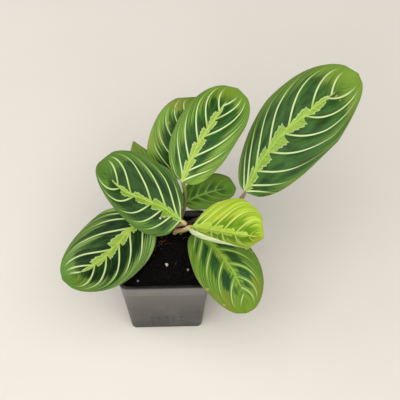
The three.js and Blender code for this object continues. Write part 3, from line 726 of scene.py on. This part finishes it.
STALK_FINISH = {kind: stalk_finish(kind, stops) for kind, stops in {
    "green": [(0, "#6b5d3e"), (.3, "#84904c"), (.75, "#87a24c"), (1, "#98b254")],
    "tan": [(0, "#8a7048"), (.3, "#d8bd94"), (.8, "#e8d2ac"), (1, "#ccc486")],
    # painted shade: this stalk runs hidden in deep shade under the leaves, so it is painted nearly
    # black
    "dark": [(0, "#2e251b"), (.4, "#4a3d2c"), (.75, "#7c6c54"), (1, "#94906a")],
    "olive": [(0, "#5f5038"), (.35, "#947c5e"), (.6, "#848a50"), (1, "#86a044")]}.items()}
STALK_KIND = {"young_lime": "tan", "right_long": "dark", "back_upright": "olive",
              "left_upper": "tan"}  # the others are green

# %% Stalk curve
SOIL_LEVEL, SOIL_CROWN, CROWN, CROWN_SPREAD = 93, 3, (12, 25), 22
STALK_FOOT, APPROACH, GAP = 84, 7, .3
BOW_SHARE, STALK_LIFT = (.65, .7), .06
INTO_BLADE = 1.2  # mm by which a stalk runs on into its blade


def smooth_curve(knots, count):
    """Points spread evenly along a centripetal curve through the knots."""
    knots = [2 * knots[0] - knots[1], *knots, 2 * knots[-1] - knots[-2]]
    dense = []
    for i in range(1, len(knots) - 2):
        p0, p1, p2, p3 = knots[i - 1:i + 3]
        d0, d1, d2 = (np.linalg.norm(b - a) ** .5 for a, b in ((p0, p1), (p1, p2), (p2, p3)))
        m1 = ((p1 - p0) / d0 - (p2 - p0) / (d0 + d1) + (p2 - p1) / d1) * d1
        m2 = ((p2 - p1) / d1 - (p3 - p1) / (d1 + d2) + (p3 - p2) / d2) * d1
        dense += [between(p1, p2, m1, m2, f) for f in np.linspace(0, 1, 60, endpoint=False)]
    dense = np.array([*dense, knots[-2]])
    run = np.concatenate([[0], np.cumsum(np.linalg.norm(np.diff(dense, axis=0), axis=1))])
    even = np.linspace(0, run[-1], count)
    return columns(*(np.interp(even, run, axis) for axis in dense.T))


def stalk_line(leaf, count):
    base, forward, length, _, bow = leaf_frame(leaf)
    tangent = unit(forward * length + bow * 4)
    foot = np.array([*leaf.foot, STALK_FOOT], float)
    mouth = np.array([*leaf.foot, SOIL_LEVEL + SOIL_CROWN + 1], float)
    arrive = unit(tangent + unit(base - mouth))
    lean = np.array([*leaf.stalk_bow, 0], float)
    approach = base - arrive * APPROACH + lean * BOW_SHARE[1]
    middle = (mouth + approach) / 2 + lean * BOW_SHARE[0]
    middle[2] += STALK_LIFT * np.linalg.norm(mouth - approach)
    end = base + tangent * INTO_BLADE - np.array([0, 0, .5])
    return smooth_curve([foot, mouth, middle, approach, end], count)


# %% Build the stalks
def tube(line, radii, sides, groove=0.0):
    forward = unit(np.gradient(line, axis=0))
    side = unit(np.cross(forward, [0, 0, 1.0]) + [1e-4, 0, 0])
    over = np.cross(side, forward)
    angle = np.linspace(0, 2 * np.pi, sides, endpoint=False)
    shape = 1 - groove * hump(angle - np.pi / 2, .45)
    ring = (side[:, None] * (np.cos(angle) * shape)[None, :, None]
            + over[:, None] * (np.sin(angle) * shape)[None, :, None])
    points = (line[:, None] + ring * np.asarray(radii)[:, None, None]).reshape(-1, 3)
    steps = len(line)
    ends = [[*range(sides - 1, -1, -1)], [*range((steps - 1) * sides, steps * sides)]]
    return points, ring_faces(steps, sides) + ends, np.tile(angle, steps)


STALK_STEPS, STALK_SIDES, STALK_GROOVE = 64, 20, .10
SHEATH_SWELL, KNEE_SWELL, NECK = .6, .35, .55  # mm added or taken away
SHEATH_END, KNEE, KNEE_REACH, NECK_START = .5, .88, .08, .95  # shares of the length
for leaf_name, leaf in LEAVES.items():
    f = np.linspace(0, 1, STALK_STEPS)
    radii = (leaf.stalk + SHEATH_SWELL * np.clip(1 - f / SHEATH_END, 0, 1)
             + KNEE_SWELL * hump(f - KNEE, KNEE_REACH)
             - NECK * np.clip((f - NECK_START) / .05, 0, 1))
    points, faces, angle = tube(stalk_line(leaf, STALK_STEPS), radii, STALK_SIDES, STALK_GROOVE)
    along = np.repeat(f, STALK_SIDES)
    stalk = make_piece("stalk_of_" + leaf_name, points, faces,
                       STALK_FINISH[STALK_KIND.get(leaf_name, "green")],
                       {"stalk_place": columns(along, angle, 0 * along)})
    settle(stalk, "leaf_stalk", "stalk_" + leaf_name)
print("stalks:", len(LEAVES))

# %% [markdown]
# ## Pot
#
# A nursery pot is thin polypropylene, moulded in one shot. Its corners are round and grow
# tighter towards the foot, a slightly wider band stiffens the mouth, a flat lip runs round it,
# and four holes drain the floor. The pot is lofted from rounded squares, from the underside up
# over the lip and down inside, which keeps the wall one closed skin. The holes are cut with a
# boolean, since a loft can't have side branches.
#
# Low on the front stand a few plain raised ribs, a grip pattern. They are part of the same
# loft: the front wall has close columns where a rib stands, and those columns are pushed out
# along a half round. So rib and wall are one skin, as they are when they come out of a mould.

# %% Pot finish
def pot_finish():
    # moulded polypropylene, dark grey: satin skin, faint flow lines up the wall, painted shade that
    # darkens the wall towards the foot, and a near-black lip
    n = Nodes("moulded_polypropylene_grey")
    metres_x, metres_y, metres_up = n.split(n.spot)
    clouds = n.cloud(38, 5)
    squeezed = n.add("Mapping", {"Vector": n.spot, "Scale": (1, 1, .05)})
    flow = n.cloud(260, 3, squeezed)
    # painted shade: the wall is painted darker towards the foot, where less light reaches it; the
    # lip is painted near black
    colour = n.ramp(n.calc("DIVIDE", metres_up, POT_HEIGHT * MM),
                    [(0, "#2e2c29"), (.3, "#383632"), (.6, "#504e4a"), (.80, "#5e5c58"),
                     (.88, "#6a6864"), (.96, "#726f6b"), (.99, "#605e5a"), (.998, "#231f1c"),
                     (1, "#171412")])
    # painted shade: the ribs are painted darker than the wall, so that they read as raised strokes
    off_rib = n.calc("PINGPONG", n.calc("DIVIDE", metres_x, RIB_PITCH * MM), .5)
    outermost = RIB_OFFSETS[-1]
    painted_rib_shade = n.times(
        n.step(off_rib, .16, .08, 0, .8),
        n.step(n.calc("ABSOLUTE", metres_x), (outermost + 2) * MM, (outermost + 1) * MM),
        n.step(metres_y, 0, -.01), n.step(metres_up, RIB_LOW * MM, (RIB_LOW + 2) * MM),
        n.step(metres_up, RIB_HIGH * MM, (RIB_HIGH - 2) * MM))
    colour = n.layers(colour, (painted_rib_shade, "#282725"),
                      (n.step(clouds, .42, .75, 0, .25), "#858380"),
                      (n.step(flow, .45, .7, 0, .10), "#4a4a4a"))
    height = n.plus(flow, n.cloud(700, 2), .35)
    return n.finish(colour, n.step(clouds, .3, .7, .30, .42), n.bump(height, .25, .2),
                    .25, IOR=1.49)


# %% Outline of the pot, level by level
POT_WIDTH, POT_HEIGHT, BASE_WIDTH = 88, 100, 72
RIM_CORNER, FOOT_CORNER = 8, 5
WALL, RIM_BAND, RIM_STEP, FLOOR = 1.4, 17, .4, 2.0
LIP_WIDTH, LIP_DEPTH = 3.2, 1.6
BAND_FOOT = POT_HEIGHT - RIM_BAND
BAND_PROUD = .45  # mm by which the band stands out at its foot
CORNER_STEPS, FLAT_STEPS = 14, 10
RIB_PITCH, RIB_HALF, RIB_PROUD, RIB_LOW, RIB_HIGH = 7.5, .9, .5, 6, 28
RIB_END = 1.2  # mm in which a rib rises from the wall at each end
RIB_OFFSETS = [k * RIB_PITCH for k in range(-2, 3)]
RIB_COLUMNS = [x + d for x in RIB_OFFSETS for d in
               (-1.5, -1.1, -1, -.88, -.65, -.35, 0, .35, .65, .88, 1, 1.1, 1.5)]


def wall_width(z):
    return BASE_WIDTH + (POT_WIDTH - 2 * RIM_STEP - BASE_WIDTH) * z / POT_HEIGHT


def corner_radius(z):
    return FOOT_CORNER + (RIM_CORNER - FOOT_CORNER) * z / POT_HEIGHT


def rounded_square(width, radius, z):
    half, flat = width / 2, width / 2 - radius
    along = np.linspace(flat, -flat, FLAT_STEPS + 1)[1:-1]
    sides = ([(half, -v) for v in along], [(v, half) for v in along],
             [(-half, v) for v in along], [(x, -half) for x in RIB_COLUMNS])
    ring = []
    for k, (sx, sy) in enumerate([(1, -1), (1, 1), (-1, 1), (-1, -1)]):
        turn = np.linspace((k - 1) * np.pi / 2, k * np.pi / 2, CORNER_STEPS + 1)
        ring += [(sx * flat + radius * math.cos(a), sy * flat + radius * math.sin(a))
                 for a in turn] + sides[k]
    return np.array([(x, y, z) for x, y in ring])


def loft(rings):
    """One skin over all rings, closed by a fan of triangles at either end."""
    count = len(rings[0])
    points = np.concatenate([*rings, [np.mean(rings[0], axis=0)], [np.mean(rings[-1], axis=0)]])
    faces = ring_faces(len(rings), count)
    low, high = len(points) - 2, len(points) - 1
    last = (len(rings) - 1) * count
    for k in range(count):
        faces += [[low, (k + 1) % count, k], [high, last + k, last + (k + 1) % count]]
    return points, faces


# %% Rings of the pot, with the ribs pushed out of the front wall
wall_heights = [2, 3, 5.6, 6, 6.25, 6.6, 7.2, 10, 14, 19, 24, 26.8, 27.4, 27.75, 28, 28.4, 34,
                42, 50, 60, 70, BAND_FOOT - 1.2, BAND_FOOT - .5]


def levels(width, corner, height, steps):
    """Each step says how much narrower, how much tighter in the corner and how much higher."""
    return [(width - narrower, corner - tighter, height + up) for narrower, tighter, up in steps]


outer = levels(BASE_WIDTH, FOOT_CORNER, 0, [(4, 2, 0), (2.2, 1.1, .15), (.8, .4, .6),
                                            (.1, 0, 1.3)])
outer += [(wall_width(z), corner_radius(z), z) for z in wall_heights]
foot_of_band = wall_width(BAND_FOOT) + 2 * BAND_PROUD
outer += levels(foot_of_band, RIM_CORNER, BAND_FOOT, [(.7, .6, -.2), (.2, .5, .1), (0, .4, .5)])
outer += levels((foot_of_band + POT_WIDTH) / 2, RIM_CORNER, 91.5, [(0, .2, 0)])
outer += levels(POT_WIDTH, RIM_CORNER, POT_HEIGHT, [(0, 0, -.9), (.15, 0, -.4), (.6, .3, -.08),
                                                    (1.1, .5, 0)])
inner = levels(POT_WIDTH - 2 * LIP_WIDTH, RIM_CORNER - LIP_WIDTH, POT_HEIGHT,
               [(-.8, -.4, 0), (-.1, 0, -.3), (0, 0, -.8), (0, 0, -LIP_DEPTH)])
inner += levels(POT_WIDTH - 2 * WALL, RIM_CORNER - WALL, 0,
                [(0, 0, POT_HEIGHT - LIP_DEPTH - .9), (RIM_STEP, 0, BAND_FOOT + 2)])
inner += [(wall_width(z) - 2 * WALL, corner_radius(z) - WALL, z) for z in (BAND_FOOT, 40, FLOOR)]


def with_ribs(ring):
    height = (np.clip((ring[:, 2] - RIB_LOW) / RIB_END, 0, 1)
              * np.clip((RIB_HIGH - ring[:, 2]) / RIB_END, 0, 1))
    off = np.min([np.abs(ring[:, 0] - x) for x in RIB_OFFSETS], axis=0) / RIB_HALF
    bulge = RIB_PROUD * np.sqrt(np.clip(1 - off ** 2, 0, 1)) * np.sqrt(height)
    on_front = ring[:, 1] < -wall_width(0) / 2 + .1
    ring[:, 1] -= np.where(on_front, bulge, 0)
    return ring


pot_rings = [with_ribs(rounded_square(*level)) for level in outer]
pot_rings += [rounded_square(*level) for level in inner]

# %% Build the pot and cut the drain holes
DRAIN_RADIUS, DRAIN_OFFSET, DRAIN_SIDES = 4, 21, 40
DRAIN_REACH = (-3.0, 5.0)  # heights of the ends of the cutting tool
SHARP = math.radians(38)  # edges sharper than this are shaded as edges


def cut_away(target, tool):
    step = target.modifiers.new("step", "BOOLEAN")
    step.operation, step.object, step.solver = "DIFFERENCE", tool, "EXACT"
    graph = bpy.context.evaluated_depsgraph_get()
    result = bpy.data.meshes.new_from_object(target.evaluated_get(graph))
    target.modifiers.clear()
    target.data = result
    bpy.data.objects.remove(tool)


pot = make_piece("nursery_pot", *loft(pot_rings), pot_finish())
turn = np.linspace(0, 2 * np.pi, DRAIN_SIDES, endpoint=False)
for sx, sy in ((-1, -1), (-1, 1), (1, -1), (1, 1)):
    rings = [columns(sx * DRAIN_OFFSET + DRAIN_RADIUS * np.cos(turn),
                     sy * DRAIN_OFFSET + DRAIN_RADIUS * np.sin(turn),
                     np.full(DRAIN_SIDES, z)) for z in DRAIN_REACH]
    cut_away(pot, make_piece("drain", *loft(rings)))
pot.data.set_sharp_from_angle(angle=SHARP)
settle(pot, "pot_plastic", "pot")
print("pot faces:", len(pot.data.polygons))

# %% [markdown]
# ## Potting mix
#
# Moist peat with bark is nearly black, crumbly and full of small shadows. One surface with
# random height carries the broad shape. Loose crumbs, bark chips and fibres are set on it as
# real lumps, because bump alone looks flat where the light comes from above.

# %% Mix finishes
def mix_finish(name, dark, light, rough, grain):
    # moist organic crumb: rough, matt, with a few damp glints
    n = Nodes(name)
    fine = n.cloud(grain, 8, rough=.7)
    damp = n.step(fine, .3, .6, rough - .25, rough)
    return n.finish(n.blend(n.step(fine, .40, .74), dark, light), damp,
                    n.bump(fine, .9, .6), .12)


MIX_FINISH = mix_finish("moist_peat", "#040303", "#120d0b", .95, 900.0)
CRUMB_FINISH = mix_finish("peat_crumbs", "#060504", "#1d1511", .95, 1200.0)
FIBRE_FINISH = mix_finish("coir_fibre", "#5a4026", "#9c7c50", .85, 1500.0)


# %% Surface of the mix
MIX_CLEARANCE, EDGE_DIP = .35, 1.5
MIX_RINGS, MIX_ROUGH = 84, 1.1  # rings from the wall to the middle, mm of random height


def soil_height(x, y):
    mound = SOIL_CROWN * hump(np.hypot(x - CROWN[0], y - CROWN[1]), CROWN_SPREAD)
    lumps = (.9 * np.sin(.31 * x + 1.1) * np.cos(.27 * y - .4)
             + .6 * np.sin(.83 * x - .57 * y) + .4 * np.cos(.71 * x + 1.13 * y))
    return SOIL_LEVEL + mound + lumps


def mix_ring(z, level):
    width = wall_width(z) - 2 * WALL - 2 * MIX_CLEARANCE
    return rounded_square(width, corner_radius(z) - WALL - GAP, level)


rings = [mix_ring(FLOOR + GAP, FLOOR + GAP), mix_ring(BAND_FOOT, BAND_FOOT - GAP)]
for scale in np.linspace(1, .01, MIX_RINGS):
    ring = mix_ring(BAND_FOOT, 0) * [scale, scale, 0]
    rough = [MIX_ROUGH * noise.fractal(Vector((x, y, 0)) * .35, .8, 2.1, 5)
             for x, y, _ in ring]
    ring[:, 2] = soil_height(ring[:, 0], ring[:, 1]) + rough - (EDGE_DIP if scale == 1 else 0)
    rings.append(ring)
mix = make_piece("potting_mix", *loft(rings), MIX_FINISH)
settle(mix, "potting_mix", "soil")
print("mix faces:", len(mix.data.polygons))

# %% Crumbs and chips
CRUMBS, CHIP_EVERY, CHIP = 820, 9, (2.0, 1.1, .35)  # a flat chip of bark for every nine
FIELD, FIELD_EDGE, CRUMB_TOP = 39.5, 40.1, 99  # they stay inside the lip and below it
CRUMB_DENT, FULL_TURN = .7, 6.28
random = np.random.default_rng(11)


def ball(detail):
    form = bmesh.new()
    bmesh.ops.create_icosphere(form, subdivisions=detail, radius=1)
    points = np.array([v.co for v in form.verts])
    faces = np.array([[v.index for v in f.verts] for f in form.faces])
    form.free()
    return points, faces


def lump(shape, size, centre, seed_point, dent):
    push = np.array([noise.noise(Vector(p) * 1.7 + seed_point) for p in shape])
    points = shape * size * (1 + dent * push)[:, None]
    spin = Matrix.Rotation(random.uniform(0, FULL_TURN), 3, Vector(random.normal(size=3)))
    return points @ np.array(spin).T + centre


def gather(parts):
    """The points and faces of many small meshes as one mesh."""
    starts = np.cumsum([0] + [len(points) for points, _ in parts])
    faces = [[v + start for v in face] for (_, part), start in zip(parts, starts)
             for face in part]
    return np.concatenate([points for points, _ in parts]), faces


BALL, BALL_FACES = ball(1)
crumbs = []
for i in range(CRUMBS):
    x, y = random.uniform(-FIELD, FIELD, 2)
    size = .5 + 1.7 * random.uniform() ** 3
    squash = np.array([1, random.uniform(.6, 1), random.uniform(.45, .9)]) * size
    if i % CHIP_EVERY == 0:
        squash = np.array(CHIP) * size
    centre = np.array([x, y, soil_height(x, y) + .25 * size])
    if max(abs(x), abs(y)) + squash[0] > FIELD_EDGE or centre[2] + size > CRUMB_TOP:
        continue
    seed_point = Vector(random.uniform(0, 90, 3))
    crumbs.append((lump(BALL, squash, centre, seed_point, CRUMB_DENT), BALL_FACES))
settle(make_piece("mix_crumbs", *gather(crumbs), CRUMB_FINISH, smooth=False), "potting_mix")
print("crumbs:", len(crumbs))

# %% Fibres, most of them in a tuft left of the crown
FIBRES, IN_TUFT, TUFT, TUFT_SPREAD, WIDE_SPREAD = 26, 12, np.array((-4, 11)), 3, 26
FIBRE_FIELD, FIBRE_EDGE = 34, 38  # a fibre starts within the first and stays in the second
FIBRE_STEPS, FIBRE_SIDES = 9, 5
fibres = []
for i in range(FIBRES):
    spread = TUFT_SPREAD if i < IN_TUFT else WIDE_SPREAD
    x, y = np.clip(TUFT + random.normal(size=2) * spread, -FIBRE_FIELD, FIBRE_FIELD)
    heading, length = random.uniform(0, FULL_TURN), random.uniform(3, 9)
    f = np.linspace(0, 1, FIBRE_STEPS)
    bearing = heading + random.uniform(-1.2, 1.2) * f
    line = columns(x + length * f * np.cos(bearing), y + length * f * np.sin(bearing), f)
    line = np.clip(line, -FIBRE_EDGE, FIBRE_EDGE)
    line[:, 2] = soil_height(line[:, 0], line[:, 1]) + .8 + .9 * np.sin(f * 3.1)
    radii = np.full(FIBRE_STEPS, random.uniform(.08, .17))
    fibres.append(tube(line, radii, FIBRE_SIDES)[:2])
settle(make_piece("mix_fibres", *gather(fibres), FIBRE_FINISH), "potting_mix")
print("fibres:", len(fibres))

# %% [markdown]
# ## Perlite
#
# Perlite is volcanic glass puffed up by heat: light, chalky white grains full of small pits.
# Each grain is a dented ball in its own socket in the mix. Only the first is still clean.

# %% Perlite grains
def perlite_finish(kind, dust):
    # expanded volcanic glass: chalky, matt, pitted, and stained where mix clings to it
    n = Nodes("expanded_perlite_" + kind)
    pits = n.add("TexVoronoi", {"Vector": n.spot, "Scale": 1800})
    colour = n.blend(dust, n.blend(pits, "#9c9082", "#f0e6d8"), "#4e3f35")
    return n.finish(colour, .85, n.bump(pits, .7, .3))


PERLITE_CLEAN, PERLITE_STAINED = perlite_finish("clean", 0.0), perlite_finish("stained", .45)
PERLITE = [(2, -14, 1.9), (-26, -32, 1.3), (23, -21, 1.5), (-30, 10, 1.2), (33, 32, 1.4)]
GRAIN_SHAPE, GRAIN_DENT = np.array([1, .85, .8]), .35
FINE_BALL, FINE_FACES = ball(3)
for i, (x, y, size) in enumerate(PERLITE):
    centre = np.array([x, y, soil_height(x, y) + .3 * size])
    points = lump(FINE_BALL, GRAIN_SHAPE * size * .95, centre, Vector((7.0 * i, 3, 1)),
                  GRAIN_DENT)
    grain = make_piece(f"perlite_grain_{i + 1}", points, FINE_FACES,
                       PERLITE_STAINED if i else PERLITE_CLEAN)
    settle(grain, "perlite", f"perlite_{i + 1}")

# %% [markdown]
# ## Studio
#
# A plain pale floor and soft light from all round, as on a cloudy day by a window. One large
# panel overhead does most of the work, and a window on the left gives the curved margins of the
# leaves their gentle sheen. The sky is pale round the horizon and behind the camera, and dim
# high up on the far side, so the dark leaves don't mirror a white sky.

# %% Floor and light
def floor_finish():
    # honed pale stone, warm white, nearly matt
    n = Nodes("honed_pale_stone")
    colour = n.blend(n.cloud(5, 6), "#e4ddd4", "#ede7df")
    return n.finish(colour, .6, n.bump(n.cloud(60, 4), .1, .5))


FLOOR_HALF, FLOOR_DROP = 3000, .3  # in mm; the drop keeps the floor clear of the pot
corners = [(x * FLOOR_HALF, y * FLOOR_HALF, -FLOOR_DROP)
           for x, y in ((-1, -1), (1, -1), (1, 1), (-1, 1))]
floor = make_piece("floor", corners, [[0, 1, 2, 3]], floor_finish(), smooth=False)

HORIZON_GLOW, NEAR_GLOW, FAR_GLOW = .72, 1.05, .12
sky = Nodes("soft_sky", bpy.data.worlds)
_, away, up = sky.split(sky.add("TexCoord", out="Generated"))
dome = sky.step(away, -.6, .6, NEAR_GLOW, FAR_GLOW)
glow = sky.add("Mix", {0: sky.step(up, .12, .42), 2: HORIZON_GLOW, 3: dome})
light = sky.add("Background", {"Color": (1.0, .985, .955, 1), "Strength": glow})
sky.add("OutputWorld", {"Surface": light})
bpy.context.scene.world = sky.owner

LIT_POINT = Vector((.03, .03, .1))


def lamp(name, place, size, power, colour):
    data = bpy.data.lights.new(name, "AREA")
    data.shape, data.size, data.energy, data.color = "SQUARE", size, power, colour
    stand(bpy.data.objects.new(name, data), Vector(place), LIT_POINT - Vector(place))


lamp("ceiling_panel", (-.1, -.65, 1.5), 2.0, 17, (1.0, .99, .97))
lamp("window", (-1.4, .1, .8), 1.3, 7, (.97, .99, 1.0))
bpy.context.scene.view_settings.view_transform = "Standard"
